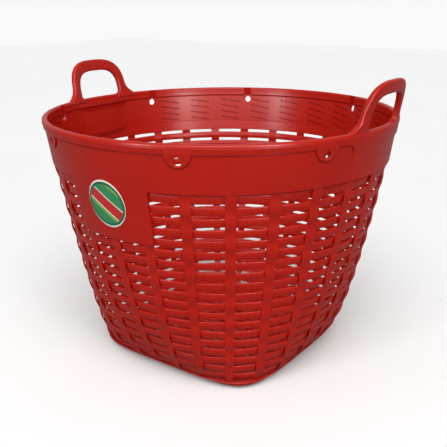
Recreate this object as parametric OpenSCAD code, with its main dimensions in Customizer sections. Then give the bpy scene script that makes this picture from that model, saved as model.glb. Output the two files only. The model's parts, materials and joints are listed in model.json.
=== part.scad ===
// Two-handled basket-weave tub, moulded in one piece, with a stuck-on label.
// Square faces lie along X and Y, the handles on +X and -X, the label on -Y. Base on z = 0.

/* [Overall] */
// Outer radius of the rim
rim_radius = 250; // [200:1:300]
// Height of the rim above the base
rim_height = 353; // [300:1:420]
// Half width of the flat base, at the middle of a side
base_half_width = 116; // [95:1:135]
// Reach of the base corner line, from the axis
base_corner_reach = 182; // [160:1:195]
// How fast the middle of a side bends up from the base: smaller is rounder
side_bend = 0.406; // [0.35:0.01:0.6]
// How straight the corners rise
corner_bend = 0.893; // [0.8:0.01:1]
// Squarest that the plan may get, corner reach over side reach
corner_ratio = 1.33; // [1.2:0.01:1.36]

/* [Rim] */
// Height of the lip
lip_height = 6.5; // [5:0.1:8]
// Rounding of the lip's top edges
lip_round = 2.8; // [1.5:0.1:3]
// Height of the thick collar, lip included
collar_height = 12; // [10:0.5:16]
// How far the collar stands proud of the band outside
collar_step = 1.9; // [1:0.1:3]
// How far the collar stands proud of the band inside
collar_inner_step = 1.5; // [0.5:0.1:2]
// Wall of the plain band
band_wall = 4; // [3:0.1:5]
// Height of the plain zone, from the rim down to the weave
band_height = 60; // [50:1:70]
// Lean of the band, outward gain over height
band_lean = 0.14; // [0.1:0.01:0.18]
// Height of the thinner strip inside the band, over the weave
ledge_height = 3; // [2:0.5:5]
// Step from that strip to the rest of the band
ledge_step = 0.8; // [0.4:0.1:1.2]

/* [Lugs] */
// Radius of the half-round lugs
lug_radius = 16; // [13:0.5:18]
// Angle of each lug from its corner
lug_angle = 20.4; // [18:0.1:22]
// Diameter of the round hole
lug_hole = 10; // [9:0.5:12]
// Depth of the hole's centre below the rim
lug_hole_drop = 20.2; // [19:0.1:21]
// Width of the groove inside
groove_width = 6.5; // [5:0.5:7]
// Depth of the groove inside
groove_depth = 2.6; // [1.5:0.1:3]

/* [Handles] */
// Height of the handle above the rim
handle_height = 58; // [50:1:70]
// Half width of the handle, above its feet
handle_half_width = 56; // [50:1:62]
// Height of the finger opening
grip_height = 41; // [30:1:44]
// Half width of the finger opening
grip_half_width = 42; // [36:1:46]
// Rounding of the opening's lower corners
grip_corner = 6; // [2:0.5:10]
// Thickness of the handle
handle_thickness = 8; // [6:0.5:10]
// Rounding of the handle's edges
handle_round = 2.4; // [1:0.1:3]
// Outward lean of the handle, over its height
handle_lean = 0.2; // [0.1:0.01:0.3]
// How far each foot flares along the rim
foot_flare = 16; // [10:1:24]
// Height over which the foot flares
foot_height = 24; // [18:1:30]
// Half angle of the raised pad outside, under the handle
pad_angle = 14.7; // [12:0.1:17]
// Half angle of the raised pad inside
inner_pad_angle = 11; // [9:0.1:12]
// How far the inner pad stands proud of the band
inner_pad_step = 1; // [0.5:0.1:1.4]
// Rounding between the pad and the collar
pad_fillet = 12; // [6:0.5:16]

/* [Weave] */
// Number of staves on each side
staves_per_side = 7; // [5:2:9]
// Angular width of a stave
stave_angle = 3.4; // [2.6:0.1:4]
// Thickness of a stave
stave_thickness = 2; // [1.6:0.1:2.4]
// Number of strand rows
rows = 19; // [14:1:19]
// Height of the slit under each strand
slit_height = 4.5; // [3.5:0.1:6]
// Thickness of a strand
strand_thickness = 2; // [1.6:0.1:2.4]
// Gap left where a strand crosses a stave
weave_clearance = 0.1; // [0.05:0.05:0.3]
// How far the weave lies behind the face of the band
weave_inset = 0.8; // [0.4:0.1:1.5]

/* [Base] */
// Height of the solid edge round the base
edge_height = 14; // [11:0.5:18]
// Width of the edge on the floor
edge_width = 10; // [7:0.5:14]
// Wall of the edge at its top
edge_wall = 5; // [4:0.1:6]
// Thickness of the floor
floor_thickness = 3; // [2:0.1:4]
// Width of a floor slat
slat_width = 12; // [9:0.5:14]
// Width of a slit in the floor
floor_slit = 4.5; // [3.5:0.1:6]

/* [Label] */
// Half angle of the plain panel behind the label
panel_angle = 15; // [14.7:0.1:17]
// Rows of weave that the panel takes the place of
panel_rows = 5; // [4:1:7]
// Radius of the label
label_radius = 31; // [24:0.5:33]
// Depth of the label's centre below the rim
label_drop = 83; // [76:0.5:90]
// Thickness of the label
label_thickness = 0.3; // [0.2:0.05:0.5]
// Gap left between curved faces that lie on each other
face_clearance = 0.15; // [0.05:0.05:0.3]

/* [Hidden] */
$fn = 96;
red = [0.66, 0.1, 0.08];
bright_red = [0.74, 0.12, 0.09];
green = [0.1, 0.5, 0.25];

sides = 4;
stave_count = sides * staves_per_side;
stave_pitch = 360 / stave_count;
front_angle = -90;

collar_bottom = rim_height - collar_height;
lip_bottom = rim_height - lip_height;
lug_bottom = collar_bottom - lug_radius;
weave_top = rim_height - band_height;
weave_bottom = edge_height;
row_pitch = (weave_top - weave_bottom) / rows;
strand_height = row_pitch - slit_height;
panel_bottom = weave_top - panel_rows * row_pitch + slit_height / 2;

// A stave is a zigzag from row to row, so it comes nearest to a strand at the strand's edges.
edge_share = 2 - strand_height / row_pitch;
weave_swing = ((stave_thickness + strand_thickness) / 2 + weave_clearance) / edge_share;
weave_middle = weave_inset + weave_swing + max(stave_thickness, strand_thickness) / 2;

lip_inside = band_inside(lip_bottom) - collar_inner_step;
lip_middle = (rim_radius + lip_inside) / 2;
lug_half_angle = asin(lug_radius / band_inside(lug_bottom));
handle_steps = 18;
edge_levels = [0, 0.2, 0.5, 1];
steepest_lean = 1.5;
cut_margin = 1;

function strand_name(row) = str("strand_", row < 9 ? "0" : "", row + 1);

// ---- The shape of the wall ----

// Reach of the middle of a side and of a corner, at a share of the height
function side_reach(share) =
    base_half_width + (rim_radius - base_half_width) * pow(share, side_bend);
function corner_reach(share) =
    base_corner_reach + (rim_radius - base_corner_reach) * pow(share, corner_bend);

// Power of the rounded-square plan that has both reaches: 2 is a circle
function plan_power(share) =
    1 / (0.5 - ln(min(max(corner_reach(share) / side_reach(share), 1.0001), corner_ratio)) / ln(2));

// Radius of the outer face at an angle and a height
function wall_radius(angle, z) =
    let (share = max(z, 0) / rim_height, power = plan_power(share))
    side_reach(share) / pow(pow(abs(cos(angle)), power) + pow(abs(sin(angle)), power), 1 / power);

// Thickness grows along the radius where the wall leans, up to a limit near the base
function wall_lean(z) =
    side_bend * (rim_radius - base_half_width) / rim_height * pow(z / rim_height, side_bend - 1);
function lean_factor(z) = z > 0 ? min(sqrt(1 + pow(wall_lean(z), 2)), steepest_lean) : steepest_lean;

function wall_point(angle, z, depth) =
    let (r = wall_radius(angle, z) - depth * lean_factor(z))
    [r * cos(angle), r * sin(angle), z];

// Face of the plain band and the collar
function band_face(z) = wall_radius(0, weave_top) + (z - weave_top) * band_lean;
function collar_face(z) = band_face(z) + collar_step;
function band_inside(z) = band_face(z) - band_wall;

// ---- Tools ----

// A closed skin over rings of points; the first and last ring are capped unless it closes on itself
module skin(rings, loop = false) {
    count = len(rings);
    size = len(rings[0]);
    walls = [for (i = [0 : count - (loop ? 1 : 2)], j = [0 : size - 1])
        [i * size + j, i * size + (j + 1) % size,
         ((i + 1) % count) * size + (j + 1) % size, ((i + 1) % count) * size + j]];
    caps = loop ? [] : [[for (j = [size - 1 : -1 : 0]) j],
                        [for (j = [0 : size - 1]) (count - 1) * size + j]];
    polyhedron([for (ring = rings) each ring], concat(walls, caps));
}

// A profile of [radius, z] points turned about the axis, from one angle to another
module turned(profile, from = 0, to = 360) {
    rotate([0, 0, from]) rotate_extrude(angle = to - from) polygon(profile);
}

// Whatever is drawn flat, with x along the wall and y up, pushed out through the wall at an angle
module through_wall(angle, z) {
    rotate([0, 0, angle]) translate([rim_radius / 2, 0, z]) rotate([90, 0, 90])
        linear_extrude(rim_radius) children();
}

module at_lugs() {
    for (side = [0 : sides - 1], way = [-1, 1])
        rotate([0, 0, (side + 0.5) * 360 / sides + way * lug_angle]) children();
}

// The groove down the inside of the rim, from its top to the hole of a lug
module groove() {
    hole_z = rim_height - lug_hole_drop;
    reach = band_inside(hole_z) + groove_depth - lip_inside + cut_margin;
    translate([lip_inside - cut_margin, -groove_width / 2, hole_z])
        cube([reach, groove_width, lug_hole_drop + cut_margin]);
}

// A ring of the plain band, or a stretch of one
module band_strip(low, high, from = 0, to = 360) {
    turned([[band_inside(low), low], [band_face(low), low],
            [band_face(high), high], [band_inside(high), high]], from, to);
}

// ---- Rim and band ----

module rim_lip() {
    color(bright_red) difference() {
        rotate_extrude() {
            translate([lip_inside, lip_bottom])
                square([rim_radius - lip_inside, lip_height - lip_round]);
            translate([lip_inside + lip_round, lip_bottom])
                square([rim_radius - lip_inside - 2 * lip_round, lip_height]);
            for (x = [lip_inside + lip_round, rim_radius - lip_round])
                translate([x, rim_height - lip_round]) circle(lip_round);
        }
        at_lugs() groove();
    }
}

module rim_collar() {
    color(red) difference() {
        turned([[band_inside(collar_bottom) - collar_inner_step, collar_bottom],
                [collar_face(collar_bottom), collar_bottom],
                [collar_face(lip_bottom), lip_bottom], [lip_inside, lip_bottom]]);
        at_lugs() groove();
    }
}

// The band's lower ring, thinner where it meets the weave
module upper_band() {
    ledge_z = weave_top + ledge_height;
    color(red) turned([[band_inside(weave_top) + ledge_step, weave_top], [band_face(weave_top), weave_top],
                       [band_face(lug_bottom), lug_bottom], [band_inside(lug_bottom), lug_bottom],
                       [band_inside(ledge_z), ledge_z], [band_inside(ledge_z) + ledge_step, ledge_z]]);
}

// The stretches of the band between the lugs
module band_top() {
    color(red) for (side = [0 : sides - 1], way = [-1, 1])
        let (lug = (side + 0.5) * 360 / sides + way * lug_angle,
             next = way < 0 ? lug + 2 * lug_angle : lug + 360 / sides - 2 * lug_angle)
        band_strip(lug_bottom, collar_bottom, lug + lug_half_angle, next - lug_half_angle);
}

// Each lug is a block of the band with a half-round boss on its face, drilled square to the wall
module attachment_lugs() {
    hole_z = rim_height - lug_hole_drop;
    color(red) at_lugs() difference() {
        union() {
            band_strip(lug_bottom, collar_bottom, -lug_half_angle, lug_half_angle);
            lug_boss();
        }
        translate([(band_inside(hole_z) + collar_face(hole_z)) / 2, 0, hole_z])
            rotate([0, 90 + atan(band_lean), 0])
                cylinder(4 * lug_radius, lug_hole / 2, lug_hole / 2, center = true);
        groove();
    }
}

module lug_boss() {
    intersection() {
        turned([[band_inside(lug_bottom), lug_bottom], [collar_face(lug_bottom), lug_bottom],
                [collar_face(collar_bottom), collar_bottom], [band_inside(collar_bottom), collar_bottom]],
               -lug_half_angle, lug_half_angle);
        translate([rim_radius / 2, 0, collar_bottom])
            rotate([0, 90, 0]) cylinder(rim_radius, lug_radius, lug_radius);
    }
}

// ---- Handles ----

// Finger opening and outer edge of the handle: x along the rim, y above it, both by one running angle
function grip_edge(a) =
    let (y = grip_height * pow(sin(a), 2 / 3.4), below = max(grip_corner - y, 0),
         rounding = grip_corner - sqrt(pow(grip_corner, 2) - pow(below, 2)))
    [sign(cos(a)) * (grip_half_width * pow(abs(cos(a)), 2 / 3.4) - rounding), y];
function foot_at(y) = foot_flare * pow(max(1 - y / foot_height, 0), 3);
function handle_edge(a) =
    let (y = handle_height * pow(sin(a), 2 / 3),
         x = handle_half_width * pow(abs(cos(a)), 2 / 3) + foot_at(y))
    [sign(cos(a)) * x, y];

// Wraps a point of the flat outline onto the rim's circle, leaning outward
function on_rim(p, off) =
    let (angle = p.x / lip_middle * 180 / PI, r = lip_middle + p.y * handle_lean + off)
    [r * cos(angle), r * sin(angle), rim_height + p.y];

function handle_ring(a) =
    let (low = grip_edge(a), high = handle_edge(a), half = handle_thickness / 2,
         step = (high - low) / norm(high - low) * handle_round)
    [on_rim(low, half - handle_round), on_rim(low + step, half),
     on_rim(high - step, half), on_rim(high, half - handle_round),
     on_rim(high, handle_round - half), on_rim(high - step, -half),
     on_rim(low + step, -half), on_rim(low, handle_round - half)];

module handle(angle) {
    quarter = [for (i = [0 : handle_steps]) 90 * pow(i / handle_steps, 2)];
    angles = concat(quarter, [for (i = [handle_steps - 1 : -1 : 0]) 180 - quarter[i]]);
    color(bright_red) rotate([0, 0, angle]) skin([for (a = angles) handle_ring(a)]);
}

module handle_right() { handle(0); }
module handle_left() { handle(180); }

// Raised pads on both faces of the band under the handles
module handle_pads() {
    color(red) for (angle = [0, 180]) {
        outer_pad(angle);
        inner_pad(angle);
    }
}

module inner_pad(angle) {
    low = weave_top + ledge_height;
    face = face_clearance;
    turned([[band_inside(low) - inner_pad_step, low], [band_inside(low) - face, low],
            [band_inside(collar_bottom) - face, collar_bottom],
            [band_inside(collar_bottom) - inner_pad_step, collar_bottom]],
           angle - inner_pad_angle, angle + inner_pad_angle);
}

// The outer pad is rounded into the collar at both sides
module outer_pad(angle) {
    half = pad_angle * PI / 180 * rim_radius;
    intersection() {
        turned([[band_face(weave_top) + face_clearance, weave_top],
                [collar_face(weave_top), weave_top],
                [collar_face(collar_bottom), collar_bottom],
                [band_face(collar_bottom) + face_clearance, collar_bottom]],
               angle - 2 * pad_angle, angle + 2 * pad_angle);
        through_wall(angle, collar_bottom) difference() {
            union() {
                translate([-half, -band_height]) square([2 * half, band_height]);
                translate([-half - pad_fillet, -pad_fillet]) square([2 * (half + pad_fillet), pad_fillet]);
            }
            for (x = [-half - pad_fillet, half + pad_fillet])
                translate([x, -pad_fillet]) circle(pad_fillet);
        }
    }
}

// ---- Label panel and label ----

panel_levels = [for (i = [0 : panel_rows]) panel_bottom + (weave_top - panel_bottom) * i / panel_rows];

module label_panel() {
    color(red) turned(
        concat([for (z = panel_levels) [wall_radius(0, z), z]],
               [for (i = [panel_rows : -1 : 0])
                   [wall_radius(0, panel_levels[i]) - band_wall, panel_levels[i]]]),
        front_angle - panel_angle, front_angle + panel_angle);
}

module label_sticker() {
    face = concat([for (z = panel_levels) [wall_radius(0, z), z]],
                  [[band_face(collar_bottom), collar_bottom]]);
    back = [for (p = face) [p.x + face_clearance, p.y]];
    color(green) intersection() {
        turned(concat([for (p = back) [p.x + label_thickness, p.y]],
                      [for (i = [len(back) - 1 : -1 : 0]) back[i]]),
               front_angle - panel_angle, front_angle + panel_angle);
        rotate([0, 0, front_angle]) translate([rim_radius / 2, 0, rim_height - label_drop])
            rotate([0, 90, 0]) cylinder(rim_radius, label_radius, label_radius);
    }
}

// ---- Weave ----

// Stave j stands out on the rows of its own parity, and the strand is in front on the others
function stave_out(j, row) = (j + row) % 2 == 0 ? 1 : -1;
function row_middle(row) = weave_top - (row + 0.5) * row_pitch;

// A strand lies in the middle of its row; the first reaches the band and the last the edge
function strand_top(row) = row == 0 ? weave_top : row_middle(row) + strand_height / 2;
function strand_bottom(row) = row == rows - 1 ? weave_bottom : row_middle(row) - strand_height / 2;

// The panel covers the staves and strands behind it
function behind_panel(j) =
    abs((j * stave_pitch - front_angle + 180 + 360) % 360 - 180) < panel_angle;
function first_row(j) = behind_panel(j) ? panel_rows : 0;

function stave_section(j, z, swing) =
    let (depth = weave_middle - swing, half = stave_thickness / 2,
         low = (j * stave_pitch) - stave_angle / 2, high = (j * stave_pitch) + stave_angle / 2)
    [wall_point(low, z, depth - half), wall_point(high, z, depth - half),
     wall_point(high, z, depth + half), wall_point(low, z, depth + half)];

module stave(j) {
    first = first_row(j);
    skin(concat(
        [first == 0 ? stave_section(j, weave_top, stave_out(j, 0) * weave_swing)
                    : stave_section(j, panel_bottom, 0)],
        [for (row = [first : rows - 1])
            stave_section(j, row_middle(row), stave_out(j, row) * weave_swing)],
        [stave_section(j, weave_bottom, stave_out(j, rows - 1) * weave_swing)]));
}

module staves(side) {
    reach = (staves_per_side - 1) / 2;
    color(red) for (j = [-reach : reach]) stave(side * staves_per_side + j);
}

function strand_section(angle, row, swing) =
    let (depth = weave_middle - swing, half = strand_thickness / 2,
         top = strand_top(row), bottom = strand_bottom(row))
    [wall_point(angle, bottom, depth - half), wall_point(angle, top, depth - half),
     wall_point(angle, top, depth + half), wall_point(angle, bottom, depth + half)];

// A strand passes each stave at a constant depth, and changes sides between two staves
function strand_run(row, from, to) = [for (j = [from : to], way = [-1, 1])
    strand_section((j + way * stave_angle / stave_pitch / 2) * stave_pitch, row,
                   -stave_out(j, row) * weave_swing)];

module strand(row) {
    color(bright_red)
    if (row >= panel_rows) skin(strand_run(row, 0, stave_count - 1), true);
    else {
        open = [for (j = [0 : stave_count - 1])
            if (!behind_panel(j) && behind_panel((j + stave_count - 1) % stave_count)) j][0];
        closed = open + len([for (j = [0 : stave_count - 1]) if (!behind_panel(j)) j]) - 1;
        skin(concat([strand_section(front_angle + panel_angle, row, 0)],
                    strand_run(row, open - stave_count, closed - stave_count),
                    [strand_section(front_angle + 360 - panel_angle, row, 0)]));
    }
}

// ---- Base ----

// The edge rises from the floor to the weave in the wall's own curve
function edge_section(angle) = concat(
    [for (level = edge_levels) wall_point(angle, level * edge_height, 0)],
    [wall_point(angle, edge_height, edge_wall),
     floor_edge(angle, edge_width - edge_wall / 2, floor_thickness), floor_edge(angle, edge_width, 0)]);
function floor_edge(angle, depth, z) =
    let (r = wall_radius(angle, 0) - depth) [r * cos(angle), r * sin(angle), z];

edge_angles = [for (j = [0 : stave_count - 1], way = [0, 0.5]) (j + way) * stave_pitch];

module base_edge() {
    color(red) skin([for (angle = edge_angles) edge_section(angle)], true);
}

// The floor has crossing slats in line with the staves, and two slits in each field between them
function slat_line(k) = base_half_width * tan(k * stave_pitch);

module base_floor() {
    reach = (staves_per_side - 1) / 2;
    lines = [for (k = [-reach : reach]) slat_line(k)];
    color(red) difference() {
        linear_extrude(floor_thickness)
            polygon([for (angle = edge_angles) let (p = floor_edge(angle, edge_width, 0)) [p.x, p.y]]);
        for (i = [0 : 2 * reach - 1], k = [0 : 2 * reach - 1],
             y = [lines[k] + slat_width / 2, lines[k + 1] - slat_width / 2 - floor_slit])
            translate([lines[i] + slat_width / 2, y, -cut_margin])
                cube([lines[i + 1] - lines[i] - slat_width, floor_slit, floor_thickness + 2 * cut_margin]);
    }
}

// ---- Assembly ----

rim_lip();
rim_collar();
band_top();
upper_band();
attachment_lugs();
handle_left();
handle_right();
handle_pads();
label_panel();
label_sticker();
base_edge();
base_floor();
staves(0);  // staves_right
staves(1);  // staves_back
staves(2);  // staves_left
staves(3);  // staves_front
for (row = [0 : rows - 1])
    strand(row);
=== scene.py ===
import json
import math

import bmesh
import bpy
import numpy as np
from mathutils import Matrix, Quaternion, Vector
from mathutils.bvhtree import BVHTree


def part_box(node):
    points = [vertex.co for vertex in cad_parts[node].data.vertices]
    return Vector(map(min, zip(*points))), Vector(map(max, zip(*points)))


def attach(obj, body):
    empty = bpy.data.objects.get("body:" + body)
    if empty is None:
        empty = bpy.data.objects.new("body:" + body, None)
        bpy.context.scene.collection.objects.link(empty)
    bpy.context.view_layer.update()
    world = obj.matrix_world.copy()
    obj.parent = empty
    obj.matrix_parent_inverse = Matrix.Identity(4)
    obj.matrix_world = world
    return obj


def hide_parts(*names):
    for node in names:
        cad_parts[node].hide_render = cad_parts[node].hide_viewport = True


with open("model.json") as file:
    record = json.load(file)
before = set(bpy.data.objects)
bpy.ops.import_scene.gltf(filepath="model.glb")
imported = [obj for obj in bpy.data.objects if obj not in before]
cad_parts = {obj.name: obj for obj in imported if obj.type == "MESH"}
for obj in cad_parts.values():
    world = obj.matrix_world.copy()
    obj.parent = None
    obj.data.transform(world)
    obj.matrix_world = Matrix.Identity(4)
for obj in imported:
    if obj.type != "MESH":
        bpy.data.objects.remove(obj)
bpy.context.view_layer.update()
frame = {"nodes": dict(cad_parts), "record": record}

# A round-mouthed plastic tub with a square foot and a woven-look wall, dressed round its CAD frame.
# Lengths are in metres, angles in radians unless a name says otherwise, and z is up.

# ---- Image points, in the photograph's frame: x to the right, y down ----
IMAGE_W, IMAGE_H = 447, 447
POINTS = {
    "left_edge": (39, None),
    "right_edge": (407, None),
    "top_edge": (None, 60),
    "bottom_edge": (None, 386),
    "left_lug_hole": (61, 117.5),
    "back_left_lug_hole": (153, 101.5),
    "back_lug_hole": (250, 98.5),
    "front_left_lug_hole": (177.5, 162),
    "front_right_lug_hole": (326, 154),
    "left_grip_opening": (98.5, 85),
    "panel_top_corner": (148.5, 192),
    "panel_low_corner": (152, 247),
    "sticker": (107.5, 204.5),
    "foot_left_corner": (112, 339),
    "hatch_top_line": (200.5, 100.5),
    "hatch_low_line": (200.5, 117.7),
}

# ---- Camera, with the sensor and the lens in millimetres ----
SENSOR = 36
LENS = 53.80
SHIFT_X, SHIFT_Y = 0.0, 0.0
AIM = Vector((0.0020, 0.0015, 0.1792))
AZIMUTH, ELEVATION, ROLL = math.radians(35.87), math.radians(18.64), math.radians(-0.463)
DISTANCE = 1.0159

# ---- Sizes that the frame doesn't give ----
MM = 0.001
RIM_RADIUS = 250 * MM
BASE_HALF_WIDTH = 116 * MM
BASE_CORNER_REACH = 174 * MM
SIDE_BEND, CORNER_BEND, CORNER_RATIO = 0.406, 0.76, 1.27
STEEPEST_LEAN = 1.5
BAND_LEAN = 0.14
BAND_WALL = 4 * MM
COLLAR_STEP = 1.9 * MM
COLLAR_INNER_STEP = 1.5 * MM
COLLAR_LINE, COLLAR_LINE_DEPTH, COLLAR_LINE_INNER_DEPTH = 2 * MM, 0.9 * MM, 0.6 * MM
LIP_ROUND = 2.8 * MM
LEDGE_HEIGHT, LEDGE_STEP = 3 * MM, 0.8 * MM
LUG_RADIUS = 16 * MM
LUG_TURN = math.radians(24.6)
LUG_PROUD, PAD_PROUD, PANEL_PROUD = 0.03 * MM, 0.02 * MM, 0.02 * MM
SUNK = 0.6 * MM
CHANNEL_WIDTH, CHANNEL_DEPTH = 1.3 * MM, 0.9 * MM
GROOVE_WIDTH, GROOVE_DEPTH, GROOVE_SLOPE = 12 * MM, 5 * MM, 0.1
HANDLE_LEAN = 0.2
PAD_ANGLE, PAD_FILLET = math.radians(14.7), 12 * MM
INNER_PAD_ANGLE, INNER_PAD_STEP = math.radians(11), 1 * MM
PAD_LOW, PAD_FADE = 0.25 * MM, 20 * MM
GRIP_HALF_WIDTH, GRIP_HEIGHT, GRIP_CORNER = 42 * MM, 41 * MM, 6 * MM
HANDLE_HALF_WIDTH, HANDLE_THICKNESS, HANDLE_SUNK = 56 * MM, 8 * MM, 4 * MM
HANDLE_FLARE, HANDLE_FLARE_HEIGHT = 16 * MM, 24 * MM
GRIP_POWER, HANDLE_POWER = 2 / 3.4, 2 / 3
STAVES_PER_SIDE = 7
STAVE_COUNT = 4 * STAVES_PER_SIDE
STAVE_PITCH = 2 * math.pi / STAVE_COUNT
STAVE_ANGLE = math.radians(3.4)
WEAVE_THICKNESS = 2 * MM
WEAVE_CLEARANCE = 0.1 * MM
WEAVE_INSET = 0.8 * MM
STAVE_DIP, STAVE_BACK_DIP, STRAND_RISE = -0.1 * MM, -1.2 * MM, -0.6 * MM
TOP_ROW_DEPTH, TOP_ROW_RECESS, TOP_ROW_SUNK = 4.6 * MM, 4 * MM, 2.4 * MM
ROWS = 19
STRAND_ROUND, STRAND_BULGE, CORNER_STEPS = 0.6 * MM, 0.2, 2
STRAND_STEPS_PER_STAVE = 10
STRAND_INTO_PANEL, STAVE_INTO_FOOT = 0.004, 0.2 * MM
PANEL_ROWS = 5
PANEL_ANGLE = math.radians(15)
FRONT = math.radians(-90)
EDGE_WIDTH, EDGE_WALL, EDGE_ROUND = 10 * MM, 5 * MM, 6 * MM
LOWEST_SLIT = 4.5 * MM
HATCH_LINES, HATCH_HALF_ANGLE, HATCH_FALL = 4, math.radians(3.9), 5 * MM
HATCH_WIDTH, HATCH_DEPTH = 1.8 * MM, 1.8 * MM
HATCH_CLEAR_OF_HANDLES = math.radians(25)
HATCH_SEEN_GAP = 10

# ---- Colours, and the studio floor ----
PLASTIC_DEEP, PLASTIC_BRIGHT = (0.42, 0.007, 0.001), (0.46, 0.009, 0.002)
PLASTIC_ROUGH, PLASTIC_ROUGH_SPREAD = 0.28, 0.04
FLOOR_SEEN = (0.89, 0.91)
FLOOR_HALF = 6

# ---- Light: area lights have a width and a height, and their power in watts ----
SURROUND_SEEN = 0.95
FLOOR_BOUNCE = 0.24
SURROUND_SIDE, SURROUND_ABOVE = 0.4, 0.45
TOP_STRENGTH, TOP_WIDTH = 2.28, math.radians(50)
TOP_TILT = (math.radians(38), 0, AZIMUTH)
SIDE_LIGHTS = {"left": (-0.34, -1.95), "right": (1.76, -0.85)}
PANEL_LIGHT_HEIGHT, PANEL_LIGHT_SIZE, PANEL_LIGHT_POWER = 0.80, (0.22, 1.3), 8
SHEEN_LIGHT_HEIGHT, SHEEN_LIGHT_SIZE, SHEEN_LIGHT_POWER = 0.66, (0.25, 0.9), 18
BROAD_LIGHT_PLACE, BROAD_LIGHT_SIZE, BROAD_LIGHT_POWER = (1.24, -1.71, 0.80), (3.0, 0.9), 26

# ---- Heights, from the frame ----
RIM_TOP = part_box("rim_lip")[1].z
LIP_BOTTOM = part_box("rim_lip")[0].z
COLLAR_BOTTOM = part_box("rim_collar")[0].z
WEAVE_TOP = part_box("upper_band")[0].z
WEAVE_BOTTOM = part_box("base_edge")[1].z
FLOOR_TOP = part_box("base_floor")[1].z
PANEL_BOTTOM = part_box("label_panel")[0].z
HANDLE_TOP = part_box("handle_right")[1].z
HANDLE_HEIGHT = HANDLE_TOP - RIM_TOP
STICKER_LOW, STICKER_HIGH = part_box("label_sticker")
LUG_HOLES = [m for m in frame["record"]["mounts"] if m["kind"] == "bore"]
LUG_HOLE_Z = LUG_HOLES[0]["pos_m"][2]
LUG_HOLE_RADIUS = LUG_HOLES[0]["dims"]["r_mm"] * MM
ROW_PITCH = (WEAVE_TOP - WEAVE_BOTTOM) / ROWS


def strand_name(row):
    return f"strand_{row + 1:02d}"


STRAND_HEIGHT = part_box(strand_name(1))[1].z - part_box(strand_name(1))[0].z
FOOT_TOP = WEAVE_BOTTOM + (ROW_PITCH - STRAND_HEIGHT) / 2 - LOWEST_SLIT
WEAVE_SWING = (WEAVE_THICKNESS + WEAVE_CLEARANCE) / (2 - STRAND_HEIGHT / ROW_PITCH)
WEAVE_MIDDLE = WEAVE_INSET + WEAVE_SWING + WEAVE_THICKNESS / 2


# ---- The shape of the wall ----
def side_reach(share):
    return BASE_HALF_WIDTH + (RIM_RADIUS - BASE_HALF_WIDTH) * share ** SIDE_BEND


def corner_reach(share):
    return BASE_CORNER_REACH + (RIM_RADIUS - BASE_CORNER_REACH) * share ** CORNER_BEND


def wall_radius(angle, z):
    """Radius of the outer face: a rounded square at the foot that turns into a circle at the rim."""
    share = np.maximum(z, 0) / RIM_TOP
    side = side_reach(share)
    power = 1 / (0.5 - np.log2(np.clip(corner_reach(share) / side, 1.0001, CORNER_RATIO)))
    return side / (abs(np.cos(angle)) ** power + abs(np.sin(angle)) ** power) ** (1 / power)


def lean_factor(z):
    """Thickness grows along the radius where the wall leans."""
    share = np.maximum(z / RIM_TOP, 1e-4)
    rise = SIDE_BEND * (RIM_RADIUS - BASE_HALF_WIDTH) / RIM_TOP * share ** (SIDE_BEND - 1)
    return np.minimum(np.sqrt(1 + rise ** 2), STEEPEST_LEAN)


def polar(angle, radius, z):
    return np.stack(np.broadcast_arrays(radius * np.cos(angle), radius * np.sin(angle), z), -1)


def wall_point(angle, z, depth):
    return polar(angle, wall_radius(angle, z) - depth * lean_factor(z), z)


def band_face(z):
    return wall_radius(0, WEAVE_TOP) + (z - WEAVE_TOP) * BAND_LEAN


def band_inside(z):
    return band_face(z) - BAND_WALL


LIP_INSIDE = band_inside(LIP_BOTTOM) - COLLAR_INNER_STEP
LIP_MIDDLE = (RIM_RADIUS + LIP_INSIDE) / 2


# ---- Mesh tools ----
def loft(rings, closed=False):
    """A skin over rings of points, capped at both ends unless it closes on itself."""
    rings = np.asarray(rings, float)
    count, size = rings.shape[:2]
    faces = []
    for i in range(count if closed else count - 1):
        a, b = i * size, (i + 1) % count * size
        faces += [(a + j, a + (j + 1) % size, b + (j + 1) % size, b + j) for j in range(size)]
    if not closed:
        last = (count - 1) * size
        faces += [tuple(range(size))[::-1], tuple(last + j for j in range(size))]
    return rings.reshape(-1, 3), faces


def arc(centre, radius, start, end, steps):
    """Points of an arc in a plane, between two angles in degrees."""
    return [(centre[0] + radius * math.cos(a), centre[1] + radius * math.sin(a))
            for a in np.radians(np.linspace(start, end, steps + 1))]


def rounded_box(half_a, half_b, radius, steps=CORNER_STEPS):
    """Outline of a box with rounded corners, with a point in the middle of each side."""
    corners = [(1, 1, 0), (-1, 1, 90), (-1, -1, 180), (1, -1, 270)]
    middles = [(0, half_b), (-half_a, 0), (0, -half_b), (half_a, 0)]
    outline = []
    for (sa, sb, start), middle in zip(corners, middles):
        centre = (sa * (half_a - radius), sb * (half_b - radius))
        outline += arc(centre, radius, start, start + 90, steps) + [middle]
    return outline


def new_object(name, parts):
    """One object from several skins, with its normals facing out."""
    verts, faces = [], []
    for part_verts, part_faces in parts:
        start = len(verts)
        verts.extend(map(tuple, part_verts))
        faces.extend(tuple(start + v for v in face) for face in part_faces)
    mesh = bpy.data.meshes.new(name)
    mesh.from_pydata(verts, [], faces)
    work = bmesh.new()
    work.from_mesh(mesh)
    bmesh.ops.recalc_face_normals(work, faces=work.faces)
    work.to_mesh(mesh)
    work.free()
    obj = bpy.data.objects.new(name, mesh)
    bpy.context.scene.collection.objects.link(obj)
    return obj


def apply_modifiers(obj):
    depsgraph = bpy.context.evaluated_depsgraph_get()
    mesh = bpy.data.meshes.new_from_object(obj.evaluated_get(depsgraph))
    obj.modifiers.clear()
    obj.data = mesh


def cut_away(obj, cutter):
    """Takes the cutter's solids out of the object."""
    cut = obj.modifiers.new("cut", "BOOLEAN")
    cut.operation, cut.solver, cut.object = "DIFFERENCE", "EXACT", cutter
    apply_modifiers(obj)
    bpy.data.objects.remove(cutter)


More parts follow.
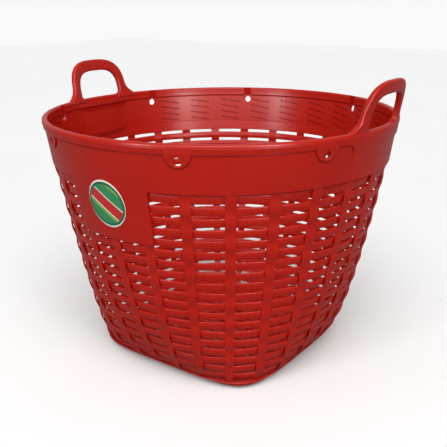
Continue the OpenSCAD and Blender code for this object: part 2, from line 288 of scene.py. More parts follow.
def finish_piece(obj, material, nodes, sharp_deg=40):
    """Smooth shading between sharp edges, the material, and the piece's place in the frame."""
    obj.data.shade_smooth()
    obj.data.set_sharp_from_angle(angle=math.radians(sharp_deg))
    obj.data.materials.clear()
    obj.data.materials.append(material)
    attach(obj, "root")
    if nodes:
        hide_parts(*nodes)
    return obj


# ---- Materials ----
def new_material(name):
    material = bpy.data.materials.new(name)
    material.use_nodes = True
    tree = material.node_tree
    shader = tree.nodes["Principled BSDF"]
    return material, tree, shader


def add_node(tree, kind, **inputs):
    """A node with its inputs set by name."""
    node = tree.nodes.new(kind)
    for name, value in inputs.items():
        node.inputs[name].default_value = value
    return node


def colour_mix(tree, factor):
    """A node that mixes its inputs 6 and 7 into its output 2, all three colours."""
    node = tree.nodes.new("ShaderNodeMix")
    node.data_type = "RGBA"
    tree.links.new(factor, node.inputs["Factor"])
    return node


def noise(tree, coordinates, scale, detail=3.0, roughness=0.5):
    node = add_node(tree, "ShaderNodeTexNoise", Scale=scale, Detail=detail, Roughness=roughness)
    tree.links.new(coordinates, node.inputs["Vector"])
    return node.outputs["Fac"]


def ramp(tree, value, stops):
    """A colour ramp from (place, colour) stops."""
    node = tree.nodes.new("ShaderNodeValToRGB")
    elements = node.color_ramp.elements
    for spare in list(elements)[1:]:
        elements.remove(spare)
    elements[0].position, elements[0].color = stops[0][0], (*stops[0][1], 1)
    for place, colour in stops[1:]:
        elements.new(place).color = (*colour, 1)
    tree.links.new(value, node.inputs["Fac"])
    return node.outputs["Color"]


def remap(tree, value, low, high):
    node = add_node(tree, "ShaderNodeMapRange")
    node.inputs["To Min"].default_value = low
    node.inputs["To Max"].default_value = high
    tree.links.new(value, node.inputs["Value"])
    return node.outputs["Result"]


def moulded_plastic(name, deep, bright, rough):
    """Glossy moulded plastic: slightly cloudy colour, uneven gloss and a fine leathery grain."""
    material, tree, shader = new_material(name)
    place = tree.nodes.new("ShaderNodeTexCoord").outputs["Object"]
    cloud = noise(tree, place, scale=9.0, detail=4.0)
    tree.links.new(ramp(tree, cloud, [(0.3, deep), (0.7, bright)]), shader.inputs["Base Color"])
    smear = noise(tree, place, scale=38.0, detail=5.0, roughness=0.6)
    uneven = remap(tree, smear, rough - PLASTIC_ROUGH_SPREAD, rough + PLASTIC_ROUGH_SPREAD)
    tree.links.new(uneven, shader.inputs["Roughness"])
    grain = noise(tree, place, scale=900.0, detail=2.0)
    bump = add_node(tree, "ShaderNodeBump", Strength=0.12, Distance=0.0004)
    tree.links.new(grain, bump.inputs["Height"])
    tree.links.new(bump.outputs["Normal"], shader.inputs["Normal"])
    shader.inputs["IOR"].default_value = 1.5
    shader.inputs["Specular IOR Level"].default_value = 0.3
    return material


def floor_material():
    """A pale floor for the eye, which throws back less light than it seems to."""
    material, tree, shader = new_material("studio_floor")
    place = tree.nodes.new("ShaderNodeTexCoord").outputs["Object"]
    tone = noise(tree, place, scale=2.0)
    pale = ramp(tree, tone, [(0.3, (FLOOR_SEEN[0],) * 3), (0.7, (FLOOR_SEEN[1],) * 3)])
    mix = colour_mix(tree, tree.nodes.new("ShaderNodeLightPath").outputs["Is Camera Ray"])
    mix.inputs[6].default_value = (FLOOR_BOUNCE, FLOOR_BOUNCE, FLOOR_BOUNCE, 1)
    tree.links.new(pale, mix.inputs[7])
    tree.links.new(mix.outputs[2], shader.inputs["Base Color"])
    shader.inputs["Roughness"].default_value = 0.7
    shader.inputs["Specular IOR Level"].default_value = 0.0
    return material


def sticker_material():
    """Printed film: a cream border, a dark ring, a two-green field and a slanting red stripe."""
    material, tree, shader = new_material("sticker_print")
    place = tree.nodes.new("ShaderNodeTexCoord").outputs["Object"]
    split = tree.nodes.new("ShaderNodeSeparateXYZ")
    tree.links.new(place, split.inputs["Vector"])

    def math_node(operation, a, b=None):
        node = tree.nodes.new("ShaderNodeMath")
        node.operation = operation
        for socket, value in zip(node.inputs, (a, b)):
            if isinstance(value, (int, float)):
                socket.default_value = value
            elif value is not None:
                tree.links.new(value, socket)
        return node.outputs[0]

    middle_z = (STICKER_LOW.z + STICKER_HIGH.z) / 2
    radius = (STICKER_HIGH.z - STICKER_LOW.z) / 2
    across = math_node("DIVIDE", split.outputs["X"], radius)
    up = math_node("DIVIDE", math_node("SUBTRACT", split.outputs["Z"], middle_z), radius)
    squares = [math_node("MULTIPLY", v, v) for v in (across, up)]
    reach = math_node("SQRT", math_node("ADD", *squares))
    slant = math_node("ADD", math_node("MULTIPLY", up, 0.82), math_node("MULTIPLY", across, 0.57))
    cream, leaf, lime, pine, red = (
        (0.80, 0.78, 0.66), (0.03, 0.25, 0.09), (0.20, 0.42, 0.06), (0.01, 0.12, 0.07), (0.55, 0.02, 0.02))
    field = ramp(tree, math_node("MULTIPLY_ADD", slant, 0.5), [
        (0.0, leaf), (0.30, lime), (0.36, cream), (0.39, red), (0.60, red), (0.61, cream), (0.64, leaf),
        (0.85, lime)])
    field.node.color_ramp.interpolation = "CONSTANT"
    rings = ramp(tree, reach, [(0.0, (0, 0, 0)), (0.80, (0, 0, 0)), (0.84, (1, 1, 1))])
    border = ramp(tree, reach, [(0.0, pine), (0.92, cream)])
    border.node.color_ramp.interpolation = "CONSTANT"
    mix = colour_mix(tree, rings)
    tree.links.new(field, mix.inputs[6])
    tree.links.new(border, mix.inputs[7])
    tree.links.new(mix.outputs[2], shader.inputs["Base Color"])
    shader.inputs["Roughness"].default_value = 0.3
    return material


red_plastic = moulded_plastic("red_plastic", PLASTIC_DEEP, PLASTIC_BRIGHT, PLASTIC_ROUGH)
sticker_film = sticker_material()


# ---- Rim and band ----
def rim_profile():
    """The outline [radius, z] of lip, collar and band, up the outside and down the inside."""
    small = 0.5 * MM
    top, low = COLLAR_BOTTOM, WEAVE_TOP
    ledge = WEAVE_TOP + LEDGE_HEIGHT
    line_low, line_high = top - COLLAR_LINE, top - 0.7 * COLLAR_LINE
    return [
        *arc((band_face(low) - small, low + small), small, -90, 0, 3),
        (band_face(line_low), line_low),
        (band_face(top) - COLLAR_LINE_DEPTH, line_high),
        (band_face(top) - COLLAR_LINE_DEPTH, top),
        *arc((band_face(top) + COLLAR_STEP - small, top + small), small, -90, 0, 3),
        (band_face(LIP_BOTTOM) + COLLAR_STEP, LIP_BOTTOM),
        (RIM_RADIUS, LIP_BOTTOM + 0.4 * MM),
        *arc((RIM_RADIUS - LIP_ROUND, RIM_TOP - LIP_ROUND), LIP_ROUND, 0, 90, 8),
        *arc((LIP_INSIDE + LIP_ROUND, RIM_TOP - LIP_ROUND), LIP_ROUND, 90, 180, 8),
        (LIP_INSIDE, LIP_BOTTOM),
        *arc((band_inside(top) - COLLAR_INNER_STEP + small, top + small), small, 180, 270, 3),
        (band_inside(top) + COLLAR_LINE_INNER_DEPTH, top),
        (band_inside(top) + COLLAR_LINE_INNER_DEPTH, line_high),
        (band_inside(line_low), line_low),
        (band_inside(ledge + 0.4 * MM), ledge + 0.4 * MM),
        (band_inside(ledge) + LEDGE_STEP, ledge),
        (band_inside(low) + LEDGE_STEP, low + 0.3 * MM),
        (band_inside(low) + LEDGE_STEP + 0.3 * MM, low)]


def turned(profile, start=0.0, end=2 * math.pi, steps=448):
    """A profile turned about the axis, all the way round or from one angle to another."""
    whole = end - start > 2 * math.pi - 1e-6
    radius, z = np.array(profile).T
    angles = np.linspace(start, end, steps + 1)[:-1 if whole else None]
    return loft([polar(a, radius, z) for a in angles], closed=whole)


def lug_angles():
    return [math.atan2(m["pos_m"][1], m["pos_m"][0]) for m in LUG_HOLES]


def hole_cutter(angle):
    """A rod along a lug hole's axis, square to the leaning wall."""
    tilt = math.atan(BAND_LEAN)
    middle = Vector((band_face(LUG_HOLE_Z) + (COLLAR_STEP - BAND_WALL) / 2, 0, LUG_HOLE_Z))
    place = Matrix.Rotation(angle, 4, "Z") @ Matrix.Translation(middle) @ Matrix.Rotation(
        math.pi / 2 + tilt, 4, "Y")
    circle = arc((0, 0), LUG_HOLE_RADIUS, 0, 360, 48)[:-1]
    rings = [[place @ Vector((x, y, end * LUG_RADIUS)) for x, y in circle] for end in (-1, 1)]
    return loft(rings)


def groove_bottom(z):
    """The slot's bottom leans in towards the rim's top."""
    return band_inside(LUG_HOLE_Z) + GROOVE_DEPTH - GROOVE_SLOPE * (z - LUG_HOLE_Z)


def groove_cutter(angle):
    """A slot down the inside of the rim, from its top to the hole, with a round end."""
    half = GROOVE_WIDTH / 2
    beyond = 5 * MM
    end = arc((0, LUG_HOLE_Z), half, 180, 360, 12)
    outline = end + [(half, RIM_TOP + beyond), (-half, RIM_TOP + beyond)]
    turn = Matrix.Rotation(angle, 4, "Z")
    near = [turn @ Vector((LIP_INSIDE - beyond, x, z)) for x, z in outline]
    deep = [turn @ Vector((groove_bottom(z), x, z)) for x, z in outline]
    return loft([near, deep])


def hatch_cutter(angle, z):
    """A short slanting slot in the inside of the band."""
    half, before = HATCH_WIDTH / 2, -1 * MM
    depth = np.array([before, HATCH_DEPTH, HATCH_DEPTH, before])
    up = np.array([1.5 * half, 0.6 * half, -0.6 * half, -1.5 * half])
    rings = []
    for share in np.linspace(-1, 1, 5):
        level = z - HATCH_FALL / 2 * share + up
        rings.append(polar(angle - HATCH_HALF_ANGLE * share, band_inside(level) + depth, level))
    return loft(rings)


def hatch_cutters(levels):
    """Groups of slots over the gaps between the staves, clear of both handles."""
    angles = [(gap + 0.5) * STAVE_PITCH for gap in range(STAVE_COUNT)]
    clear = [a for a in angles if abs(math.sin(a)) > math.sin(HATCH_CLEAR_OF_HANDLES)]
    return [hatch_cutter(a, z) for a in clear for z in levels]


def lug_channel(angle):
    """A narrow channel in the band round the free edge of a lug's boss."""
    side = math.atan2(COLLAR_BOTTOM - LUG_HOLE_Z, LUG_RADIUS)
    under, above = -0.1 * MM, 0.5 * MM
    across = np.array([under, CHANNEL_WIDTH, CHANNEL_WIDTH - 0.3 * MM, under])
    height = np.array([above, above, -CHANNEL_DEPTH, -CHANNEL_DEPTH])
    rings = []
    for direction in np.linspace(-math.pi - side, side, 41):
        reach = lug_outline(direction) + across
        z = LUG_HOLE_Z + reach * math.sin(direction)
        rings.append(polar(angle + reach * math.cos(direction) / RIM_RADIUS, band_face(z) + height, z))
    return loft(rings)


def make_rim():
    """The rim, and the heights of the top and the low hatch line from their image points."""
    rim = new_object("rim_and_band", [turned(rim_profile())])
    cut_away(rim, new_object("groove_cutters", [groove_cutter(a) for a in lug_angles()]))
    cut_away(rim, new_object("hole_cutters", [hole_cutter(a) for a in lug_angles()]))
    cut_away(rim, new_object("channel_cutters", [lug_channel(a) for a in lug_angles()]))
    smooth_band = tree_of([rim])
    top, low = (place_on(smooth_band, POINTS[name]).z for name in ("hatch_top_line", "hatch_low_line"))
    levels = np.linspace(top, low, HATCH_LINES)
    cut_away(rim, new_object("hatch_cutters", hatch_cutters(levels)))
    finish_piece(rim, red_plastic, ["rim_lip", "rim_collar", "band_top", "upper_band"], sharp_deg=18)
    return rim, (top, low)


def lug_outline(direction):
    """Distance from the hole's centre to the lug's outline: a half round that runs up into the collar."""
    drop = COLLAR_BOTTOM - LUG_HOLE_Z
    across, up = math.cos(direction), math.sin(direction)
    reach = drop * up + math.sqrt((drop * up) ** 2 - drop ** 2 + LUG_RADIUS ** 2)
    if reach * up > drop:
        sides = LUG_RADIUS / max(abs(across), 1e-9)
        reach = min(sides, (LIP_BOTTOM - LUG_HOLE_Z) / up)
    return reach


def lug(angle):
    """A half-round boss with rounded edges round its hole, sunk a little into the band."""
    proud, soft, inner = COLLAR_STEP + LUG_PROUD, 0.7 * MM, LUG_HOLE_RADIUS
    steps = 96
    rings = []
    for k in range(steps):
        direction = 2 * math.pi * k / steps
        outer = lug_outline(direction)
        profile = [(inner, -SUNK), (inner, proud - soft), (inner + 0.3 * soft, proud - 0.3 * soft),
                   (inner + soft, proud),
                   *[(outer - soft + x, proud - soft + h) for x, h in arc((0, 0), soft, 90, 0, 3)],
                   (outer, -SUNK)]
        reach, height = np.array(profile).T
        z = LUG_HOLE_Z + reach * math.sin(direction)
        rings.append(polar(angle + reach * math.cos(direction) / RIM_RADIUS, band_face(z) + height, z))
    return loft(rings, closed=True)


def make_lugs():
    bosses = new_object("lug_bosses", [lug(a) for a in lug_angles()])
    return finish_piece(bosses, red_plastic, ["attachment_lugs"])


# ---- Pads and panel ----
def plate(angle, levels, half_width, face, height, columns):
    """A thin plate on a turned face, proud of it by a height and rounded at both sides."""
    rings = []
    for z in levels:
        half, proud = half_width(z), height(z)
        sunk, soft = math.copysign(SUNK, proud), min(SUNK, abs(proud))
        x = np.concatenate([[-half, -half, -half + 0.3 * soft, -half + soft],
                            np.linspace(-half, half, columns + 2)[1:-1],
                            [half - soft, half - 0.3 * soft, half, half]])
        drop = math.copysign(soft, proud)
        h = np.array([-sunk, proud - drop, proud - 0.3 * drop, proud] + [proud] * columns
                     + [proud, proud - 0.3 * drop, proud - drop, -sunk])
        rings.append(polar(angle + x / RIM_RADIUS, face(z) + h, z))
    return loft(rings)


def outer_pad_width(z):
    """Half width of the outer pad: straight, then rounded out into the collar."""
    into = min(max(z - (COLLAR_BOTTOM - PAD_FILLET), 0), PAD_FILLET)
    return PAD_ANGLE * RIM_RADIUS + PAD_FILLET - math.sqrt(PAD_FILLET ** 2 - into ** 2)


def outer_pad_height(z):
    """The outer pad is level with the collar at its top and fades out below it."""
    share = min(max(1 - (COLLAR_BOTTOM - z) / PAD_FADE, 0), 1)
    return PAD_LOW + (COLLAR_STEP + PAD_PROUD - PAD_LOW) * ease(share)


def inner_pad_width(z):
    """Half width of the inner pad, the same at every height."""
    return INNER_PAD_ANGLE * RIM_RADIUS


def inner_pad_height(z):
    """The inner pad stands inward by the same step at every height."""
    return -INNER_PAD_STEP


def make_pads():
    """Thicker fields of the band under the handles, outside and inside."""
    fillet_levels = COLLAR_BOTTOM - PAD_FILLET * np.cos(np.linspace(0, math.pi / 2, 13))
    straight_levels = WEAVE_TOP + np.array([0.1, 6, 9, 12, 15]) * MM
    outer_levels = np.concatenate([straight_levels, fillet_levels, [LIP_BOTTOM]])
    inner_levels = np.linspace(WEAVE_TOP + LEDGE_HEIGHT, COLLAR_BOTTOM + 0.5 * MM, 5)
    parts = []
    for angle in (0, math.pi):
        parts.append(plate(angle, outer_levels, outer_pad_width, band_face, outer_pad_height, columns=36))
        parts.append(plate(angle, inner_levels, inner_pad_width, band_inside, inner_pad_height, columns=28))
    return finish_piece(new_object("handle_reinforcements", parts), red_plastic, ["handle_pads"])


def panel_face(z):
    return np.where(z > WEAVE_TOP, band_face(z), wall_radius(0, np.minimum(z, WEAVE_TOP)))


def make_panel():
    """The plain panel: it carries the band on downward, with soft edges at its sides and its bottom."""
    soft, columns = 0.6 * MM, 39
    upper_levels = PANEL_BOTTOM + 0.9 * MM + np.linspace(0, WEAVE_TOP + 2 * MM - PANEL_BOTTOM, 18)
    levels = np.concatenate([[PANEL_BOTTOM, PANEL_BOTTOM + 0.3 * MM], upper_levels])
    edge = [-soft, -0.3 * soft]
    rings = []
    for i, z in enumerate(levels):
        inset = (soft, 0.3 * soft, 0)[min(i, 2)]
        x = np.linspace(-1, 1, columns + 2) * (PANEL_ANGLE * RIM_RADIUS - inset)
        shown = np.concatenate([[x[0]], x[0] + [0.3 * soft], x[1:-1], x[-1] - [0.3 * soft], [x[-1]]])
        out = np.concatenate([edge, np.zeros(columns), edge[::-1]]) + PANEL_PROUD - inset
        front = polar(FRONT + shown / RIM_RADIUS, panel_face(z) + out, z)
        back = polar(FRONT + shown[::-1] / RIM_RADIUS, panel_face(z) - BAND_WALL - out[::-1], z)
        rings.append(np.concatenate([front, back]))
    return finish_piece(new_object("sticker_panel", [loft(rings)]), red_plastic, ["label_panel"])


def make_sticker():
    """A thin round film that follows the panel, a little domed at its cut edge."""
    radius = (STICKER_HIGH.z - STICKER_LOW.z) / 2
    middle = (STICKER_HIGH.z + STICKER_LOW.z) / 2
    lift, film = 0.1 * MM, 0.35 * MM
    steps = 12
    inward = np.linspace(0.92, 0.02, steps)
    shares = np.array([1.0, 1.0, 0.985, *inward, inward[-1]])
    heights = np.array([lift, lift + 0.6 * film, lift + film] + [lift + film] * steps + [lift])
    rings = []
    for turn in np.linspace(0, 2 * math.pi, 97)[:-1]:
        z = middle + radius * shares * math.sin(turn)
        x = radius * shares * math.cos(turn)
        rings.append(polar(FRONT + x / RIM_RADIUS, panel_face(z) + heights, z))
    sticker = new_object("round_sticker", [loft(rings, closed=True)])
    return finish_piece(sticker, sticker_film, ["label_sticker"])


# ---- Handles ----
def on_rim(x, y, off):
    """A point of the handle's flat outline, wrapped round the rim and leaning outward."""
    return polar(x / LIP_MIDDLE, LIP_MIDDLE + y * HANDLE_LEAN + off, RIM_TOP + y)


def handle_section(a, drop=0.0):
    """The rounded section of the handle at a running angle, between its opening and its outer edge."""
    across, up = math.cos(a), math.sin(a)
    sign = math.copysign(1, across) if abs(across) > 1e-9 else 0
    low = np.array([GRIP_HALF_WIDTH * sign * abs(across) ** GRIP_POWER, GRIP_HEIGHT * up ** GRIP_POWER])
    below = max(GRIP_CORNER - low[1], 0)
    low[0] -= sign * (GRIP_CORNER - math.sqrt(GRIP_CORNER ** 2 - below ** 2))
    y = HANDLE_HEIGHT * up ** HANDLE_POWER
    flare = HANDLE_FLARE * max(1 - y / HANDLE_FLARE_HEIGHT, 0) ** 3
    high = np.array([sign * (HANDLE_HALF_WIDTH * abs(across) ** HANDLE_POWER + flare), y])
    length = np.linalg.norm(high - low)
    along = (high - low) / length
    outline = rounded_box(length / 2, HANDLE_THICKNESS / 2, LIP_ROUND, steps=5)
    middle = (low + high) / 2
    points = [(middle + along * s, t) for s, t in outline]
    return [on_rim(p[0], p[1] - drop, t) for p, t in points]


def make_handle(name, node, turn):
    """A loop from foot to foot, with its sections closest together where it grows out of the lip."""
    steps, crowding = 44, 1.6
    half = [math.pi / 2 * (i / steps) ** crowding for i in range(steps + 1)]
    angles = half + [math.pi - a for a in half[-2::-1]]
    rings = [handle_section(0, HANDLE_SUNK)] + [handle_section(a) for a in angles]
    rings.append(handle_section(math.pi, HANDLE_SUNK))
    verts, faces = loft(rings)
    spin = np.array(Matrix.Rotation(turn, 3, "Z"))
    return finish_piece(new_object(name, [(verts @ spin.T, faces)]), red_plastic, [node])


# ---- Weave ----
def behind_panel(j):
    away = (j * STAVE_PITCH - FRONT + math.pi) % (2 * math.pi) - math.pi
    return abs(away) < PANEL_ANGLE


def stave_out(j, row):
    """A plain weave: a stave stands out at every second row, and its neighbour at the rows between."""
    return (j + row) % 2 == 0


def row_middle(row):
    return WEAVE_TOP - (row + 0.5) * ROW_PITCH


def ease(t):
    return (1 - np.cos(np.pi * t)) / 2


def stave_outline():
    """Half a stave's section as (share of the half width, height): four low ribs between rounded edges."""
    ribs, ribbed_share, groove, soft = 4, 0.94, 0.28 * MM, 0.5 * MM
    half = WEAVE_THICKNESS / 2
    width = 2 * ribbed_share / ribs
    marks = []
    for i in range(ribs):
        start = i * width - ribbed_share
        marks += [(start + 0.04 * width, half - groove), (start + 0.3 * width, half),
                  (start + 0.7 * width, half), (start + 0.96 * width, half - groove)]
    return [(-1, half - soft), *marks, (1, half - soft)]


def stave_swing(j, row):
    """How far a stave's face and its back stand out at a row."""
    if stave_out(j, row):
        return WEAVE_SWING, WEAVE_SWING
    return STAVE_DIP, (STAVE_BACK_DIP if row else STAVE_DIP)


def stave_path(j):
    """A stave's way down the wall: height, and how far its face and its back stand out."""
    first = PANEL_ROWS if behind_panel(j) else 0
    rows = [(row_middle(row), *stave_swing(j, row)) for row in range(first, ROWS)]
    start = (PANEL_BOTTOM, 0, 0) if first else (WEAVE_TOP, *rows[0][1:])
    knots = np.array([start, *rows, (FOOT_TOP - STAVE_INTO_FOOT, *rows[-1][1:])])
    path = []
    for here, there in zip(knots, knots[1:]):
        for t in (0, 0.25, 0.5, 0.75):
            path.append(here + (there - here) * np.array([t, ease(t), ease(t)]))
    return path + [knots[-1]]


def stave(j):
    """One ribbed upright along its way down the wall."""
    share, height = np.array(stave_outline()).T
    angle = j * STAVE_PITCH + np.concatenate([share, share[::-1]]) * STAVE_ANGLE / 2
    rings = []
    for z, face, back in stave_path(j):
        depth = np.concatenate([WEAVE_MIDDLE - face - height, WEAVE_MIDDLE - back + height[::-1]])
        rings.append(wall_point(angle, z, depth))
    return loft(rings)


def make_staves(name, node, side):
    reach = (STAVES_PER_SIDE - 1) // 2
    parts = [stave(side * STAVES_PER_SIDE + j) for j in range(-reach, reach + 1)]
    return finish_piece(new_object(name, parts), red_plastic, [node], sharp_deg=60)


def strand_swing(angle, row):
    """How far the strand stands out: level across each stave, changing sides between two staves."""
    place = angle / STAVE_PITCH
    j = math.floor(place)
    level = STAVE_ANGLE / STAVE_PITCH / 2
    t = min(max((place - j - level) / (1 - 2 * level), 0), 1)
    here, there = (-WEAVE_SWING if stave_out(k, row) else STRAND_RISE for k in (j, j + 1))
    return here + (there - here) * ease(t)


def strand_section(middle, row):
    """A row's section in the wall, as (depth, height)."""
    outline = np.array(rounded_box(WEAVE_THICKNESS / 2, STRAND_HEIGHT / 2, STRAND_ROUND))
    bulge = 1 + STRAND_BULGE * (1 - (2 * outline[:, 1] / STRAND_HEIGHT) ** 2)
    return np.stack([middle - outline[:, 0] * bulge, row_middle(row) + outline[:, 1]], -1)


def top_row_section(middle):
    """The top row: its face is like the others', a recess parts it from the band, and its back is smooth."""
    face = strand_section(middle, 0)
    high, low = face[:, 1].max(), face[:, 1].min()
    ledge, recess_top, soft = WEAVE_TOP + LEDGE_HEIGHT, WEAVE_TOP + 0.4 * MM, 0.3 * STRAND_ROUND
    recess = [(TOP_ROW_RECESS, high), (TOP_ROW_RECESS, recess_top),
              (TOP_ROW_SUNK, recess_top), (TOP_ROW_SUNK, ledge)]
    back_top = [(TOP_ROW_DEPTH - soft, ledge), (TOP_ROW_DEPTH, ledge - soft),
                (TOP_ROW_DEPTH, ledge - 2 * soft)]
    back_low = [(TOP_ROW_DEPTH, low + 1.3 * STRAND_ROUND), (TOP_ROW_DEPTH, low + STRAND_ROUND),
                (TOP_ROW_DEPTH - soft, low + soft), (TOP_ROW_DEPTH - STRAND_ROUND, low)]
    corner = CORNER_STEPS + 1
    return np.concatenate([face[:corner], recess, back_top, back_low, face[-corner - 1:]])


def make_strand(row):
    """A row of the weave: all the way round, or from one side of the panel to the other."""
    whole = row >= PANEL_ROWS
    start = FRONT if whole else FRONT + PANEL_ANGLE - STRAND_INTO_PANEL
    end = FRONT + 2 * math.pi if whole else FRONT + 2 * math.pi - PANEL_ANGLE + STRAND_INTO_PANEL
    angles = np.linspace(start, end, STAVE_COUNT * STRAND_STEPS_PER_STAVE + 1)[:-1 if whole else None]
    rings = []
    for angle in angles:
        middle = WEAVE_MIDDLE - strand_swing(angle, row)
        depth, z = (strand_section(middle, row) if row else top_row_section(middle)).T
        rings.append(wall_point(angle, z, depth))
    strand = new_object(f"weave_row_{row + 1:02d}", [loft(rings, closed=whole)])
    return finish_piece(strand, red_plastic, [strand_name(row)], sharp_deg=60)


# ---- Foot ----
def foot_inset(z):
    """How far the round floor edge lies behind the wall's outer curve."""
    return EDGE_ROUND - np.sqrt(EDGE_ROUND ** 2 - np.maximum(EDGE_ROUND - z, 0) ** 2)


def foot_section(angle):
    """The wall's foot: a round floor edge, its outer curve, a soft top edge and the inside."""
    soft = 0.5 * MM
    z = np.append(np.array([0, 0.4, 1, 2, 3.5, 6, 8.5]) * MM, FOOT_TOP - soft)
    outer = polar(angle, wall_radius(angle, z) - foot_inset(z), z)
    top = wall_point(angle, FOOT_TOP, np.array([soft, EDGE_WALL - soft]))
    inner = wall_point(angle, FOOT_TOP - soft, np.array([EDGE_WALL]))
    inset = np.array([EDGE_WIDTH - EDGE_WALL / 2, EDGE_WIDTH, EDGE_WIDTH])
    inside = polar(angle, wall_radius(angle, 0) - inset, np.array([FLOOR_TOP + 0.4 * MM, FLOOR_TOP, 0]))
    return np.concatenate([outer, top, inner, inside])


def make_foot():
    angles = np.linspace(0, 2 * math.pi, 337)[:-1]
    foot = new_object("foot_ring", [loft([foot_section(a) for a in angles], closed=True)])
    return finish_piece(foot, red_plastic, ["base_edge"])


def fit_into_foot(mesh):
    """Draws the corners of the floor in, so that they end just inside the foot's ring."""
    overlap = 0.3 * MM
    for vertex in mesh.vertices:
        angle, reach = math.atan2(vertex.co.y, vertex.co.x), vertex.co.xy.length
        limit = wall_radius(angle, 0) - EDGE_WIDTH + overlap
        if reach > limit:
            vertex.co.xy = vertex.co.xy * (limit / reach)


def make_floor_lattice():
    """The slatted floor of the CAD model, fitted into the rounder foot and with its edges softened."""
    mesh = frame["nodes"]["base_floor"].data.copy()
    fit_into_foot(mesh)
    lattice = bpy.data.objects.new("floor_lattice", mesh)
    bpy.context.scene.collection.objects.link(lattice)
    work = bmesh.new()
    work.from_mesh(mesh)
    bmesh.ops.remove_doubles(work, verts=work.verts, dist=1e-6)
    bmesh.ops.dissolve_limit(work, angle_limit=math.radians(1), verts=work.verts, edges=work.edges)
    work.to_mesh(mesh)
    work.free()
    bevel = lattice.modifiers.new("soft_edges", "BEVEL")
    bevel.width, bevel.segments, bevel.limit_method = 0.6 * MM, 2, "ANGLE"
    apply_modifiers(lattice)
    return finish_piece(lattice, red_plastic, ["base_floor"])


# ---- Camera, and the image points ----
def make_camera():
    data = bpy.data.cameras.new("photo_camera")
    data.sensor_fit, data.sensor_width, data.lens = "AUTO", SENSOR, LENS
    data.shift_x, data.shift_y = SHIFT_X, SHIFT_Y
    data.clip_start, data.clip_end = 0.05, 50
    camera = bpy.data.objects.new("photo_camera", data)
    bpy.context.scene.collection.objects.link(camera)
    back = Vector((math.sin(AZIMUTH) * math.cos(ELEVATION), -math.cos(AZIMUTH) * math.cos(ELEVATION),
                   math.sin(ELEVATION)))
    turn = (-back).to_track_quat("-Z", "Y") @ Quaternion((0, 0, 1), ROLL)
    camera.matrix_world = Matrix.Translation(AIM + back * DISTANCE) @ turn.to_matrix().to_4x4()
    bpy.context.scene.camera = camera
    return camera


VIEW = make_camera().matrix_world.copy()
LONG_SIDE = max(IMAGE_W, IMAGE_H)


def tree_of(objects):
    """A BVH tree of finished objects, in the frame."""
    verts, faces = [], []
    for obj in objects:
        start = len(verts)
        verts += [obj.matrix_world @ v.co for v in obj.data.vertices]
        faces += [[start + v for v in p.vertices] for p in obj.data.polygons]
    return BVHTree.FromPolygons(verts, faces)


def place_on(tree, point):
    """Where the ray of an image point meets the surface, or the place nearest the ray."""
    x, y = point
    local = Vector((x - IMAGE_W / 2 + SHIFT_X * LONG_SIDE, IMAGE_H / 2 - y + SHIFT_Y * LONG_SIDE,
                    -LONG_SIDE * LENS / SENSOR))
    start, way = VIEW.translation, (VIEW.to_3x3() @ local).normalized()
    hit = tree.ray_cast(start, way)[0]
    if hit is None:
        near = [tree.find_nearest(start + way * d)[::3] for d in np.linspace(0.5, 1.6, 111)]
        hit = min(near, key=lambda found: found[1])[0]
    return hit


def to_image(points):
    """Image coordinates of points of the frame."""
    local = np.array(points, float).reshape(-1, 3) @ np.array(VIEW.to_3x3()) - np.array(
        VIEW.to_3x3().transposed() @ VIEW.translation)
    scale = LONG_SIDE * LENS / SENSOR / -local[:, 2]
    return np.stack([IMAGE_W / 2 - SHIFT_X * LONG_SIDE + local[:, 0] * scale,
                     IMAGE_H / 2 + SHIFT_Y * LONG_SIDE - local[:, 1] * scale], -1)


# ---- Studio ----
def make_studio():
    mesh = bpy.data.meshes.new("studio_floor")
    corners = [(FLOOR_HALF * x, FLOOR_HALF * y, 0) for x, y in ((-1, -1), (1, -1), (1, 1), (-1, 1))]
    mesh.from_pydata(corners, [], [(0, 1, 2, 3)])
    floor = bpy.data.objects.new("studio_floor", mesh)
    bpy.context.scene.collection.objects.link(floor)
    mesh.materials.append(floor_material())
    bpy.context.scene.world = studio_world()
    bpy.context.scene.view_settings.view_transform = "Standard"


def studio_world():
    """A white surround for the eye. It lights the object less, and more from above than from the side."""
    world = bpy.data.worlds.new("studio")
    world.use_nodes = True
    tree = world.node_tree
    seen = tree.nodes["Background"]
    seen.inputs["Color"].default_value = (1, 1, 1, 1)
    seen.inputs["Strength"].default_value = SURROUND_SEEN
    way = tree.nodes.new("ShaderNodeTexCoord").outputs["Generated"]
    split = tree.nodes.new("ShaderNodeSeparateXYZ")
    tree.links.new(way, split.inputs["Vector"])
    lit = tree.nodes.new("ShaderNodeBackground")
    lit.inputs["Color"].default_value = (1, 1, 1, 1)
    height = remap(tree, split.outputs["Z"], SURROUND_SIDE, SURROUND_ABOVE)
    tree.links.new(height, lit.inputs["Strength"])
    rays = tree.nodes.new("ShaderNodeLightPath")
    mix = tree.nodes.new("ShaderNodeMixShader")
    tree.links.new(rays.outputs["Is Camera Ray"], mix.inputs["Fac"])
    tree.links.new(lit.outputs["Background"], mix.inputs[1])
    tree.links.new(seen.outputs["Background"], mix.inputs[2])
    tree.links.new(mix.outputs["Shader"], tree.nodes["World Output"].inputs["Surface"])
    return world


def top_light():
    """A wide soft sun, tilted towards the camera's side."""
    data = bpy.data.lights.new("top_light", "SUN")
    data.energy, data.angle = TOP_STRENGTH, TOP_WIDTH
    light = bpy.data.objects.new("top_light", data)
    bpy.context.scene.collection.objects.link(light)
    light.location = (0, 0, 3)
    light.rotation_euler = TOP_TILT


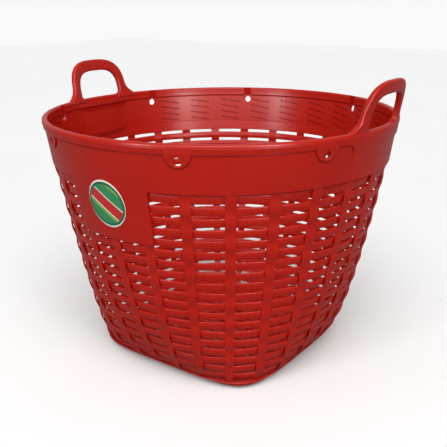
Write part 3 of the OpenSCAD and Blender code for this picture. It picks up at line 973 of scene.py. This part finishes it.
def soft_light(name, place, width, height, power, sheen):
    """An area light that faces the object, and gives it either a sheen alone or soft light alone."""
    data = bpy.data.lights.new(name, "AREA")
    data.shape, data.size, data.size_y, data.energy = "RECTANGLE", width, height, power
    light = bpy.data.objects.new(name, data)
    bpy.context.scene.collection.objects.link(light)
    light.location = place
    light.rotation_mode = "QUATERNION"
    light.rotation_quaternion = (AIM - Vector(place)).to_track_quat("-Z", "Y")
    light.visible_diffuse, light.visible_glossy = not sheen, sheen


# ---- Build ----
rim, HATCH_LEVELS = make_rim()
lugs = make_lugs()
pads = make_pads()
panel = make_panel()
sticker = make_sticker()
handles = [make_handle("loop_handle_right", "handle_right", 0),
           make_handle("loop_handle_left", "handle_left", math.pi)]
staves = [make_staves(f"uprights_{side}", f"staves_{side}", k)
          for k, side in enumerate(("right", "back", "left", "front"))]
strands = [make_strand(row) for row in range(ROWS)]
foot = make_foot()
make_floor_lattice()
make_studio()
top_light()
for side, (x, y) in SIDE_LIGHTS.items():
    soft_light(f"{side}_panel", (x, y, PANEL_LIGHT_HEIGHT), *PANEL_LIGHT_SIZE, PANEL_LIGHT_POWER, sheen=False)
for side, (x, y) in SIDE_LIGHTS.items():
    soft_light(f"{side}_sheen", (x, y, SHEEN_LIGHT_HEIGHT), *SHEEN_LIGHT_SIZE, SHEEN_LIGHT_POWER, sheen=True)
soft_light("broad_sheen", BROAD_LIGHT_PLACE, *BROAD_LIGHT_SIZE, BROAD_LIGHT_POWER, sheen=True)


# ---- Where the things of the image points show ----
def lug_hole_middle(angle):
    """The middle of a lug hole's inner or outer mouth, whichever faces the camera."""
    outer = band_face(LUG_HOLE_Z) + COLLAR_STEP
    facing = VIEW.translation.xy.normalized().dot(Vector((math.cos(angle), math.sin(angle)))) > 0
    return polar(angle, outer if facing else band_inside(LUG_HOLE_Z), LUG_HOLE_Z)


def middle_of(points):
    """The middle of the box that the points fill in the image."""
    seen = to_image(points)
    return (seen.min(0) + seen.max(0)) / 2


def grip_opening():
    """The middle of the left handle's opening."""
    angles = np.linspace(0, math.pi, 60)
    edge = [(GRIP_HALF_WIDTH * np.sign(np.cos(a)) * abs(np.cos(a)) ** GRIP_POWER,
             GRIP_HEIGHT * np.sin(a) ** GRIP_POWER) for a in angles]
    spots = [on_rim(x, y, 0) * (-1, -1, 1) for x, y in edge]
    return middle_of(spots)


def foot_corner(angle):
    z = EDGE_ROUND / 2
    return polar(angle, wall_radius(angle, z) - foot_inset(z), z)


def measured():
    """Where each of the image points' things shows, in the photograph's frame."""
    pieces = [rim, lugs, pads, panel, sticker, *handles, *staves, *strands, foot]
    spots = np.concatenate([np.array([v.co for v in o.data.vertices]) for o in pieces])
    seen = to_image(spots)
    (left, top), (right, bottom) = seen.min(0), seen.max(0)
    edge = PANEL_ANGLE - 0.5 * MM / RIM_RADIUS
    hatch = (HATCH_SEEN_GAP + 0.5) * STAVE_PITCH
    top_line, low_line = (polar(hatch, band_inside(z), z) for z in HATCH_LEVELS)

    def one(point):
        return to_image([point])[0]

    return {
        "left_edge": (left, None), "right_edge": (right, None),
        "top_edge": (None, top), "bottom_edge": (None, bottom),
        "left_lug_hole": one(lug_hole_middle(math.pi + LUG_TURN)),
        "back_left_lug_hole": one(lug_hole_middle(math.pi - LUG_TURN)),
        "back_lug_hole": one(lug_hole_middle(math.pi / 2 + LUG_TURN)),
        "front_left_lug_hole": one(lug_hole_middle(FRONT + LUG_TURN)),
        "front_right_lug_hole": one(lug_hole_middle(-LUG_TURN)),
        "left_grip_opening": grip_opening(),
        "panel_top_corner": one(polar(FRONT + edge, panel_face(WEAVE_TOP), WEAVE_TOP)),
        "panel_low_corner": one(polar(FRONT + edge, panel_face(PANEL_BOTTOM), PANEL_BOTTOM)),
        "sticker": middle_of([v.co for v in sticker.data.vertices]),
        "foot_left_corner": one(foot_corner(math.radians(-135))),
        "hatch_top_line": one(top_line),
        "hatch_low_line": one(low_line),
    }


def write_points():
    """Finds where each of the image points' things shows, in the photograph's frame; the result is not used.
    """
    found = measured()


write_points()
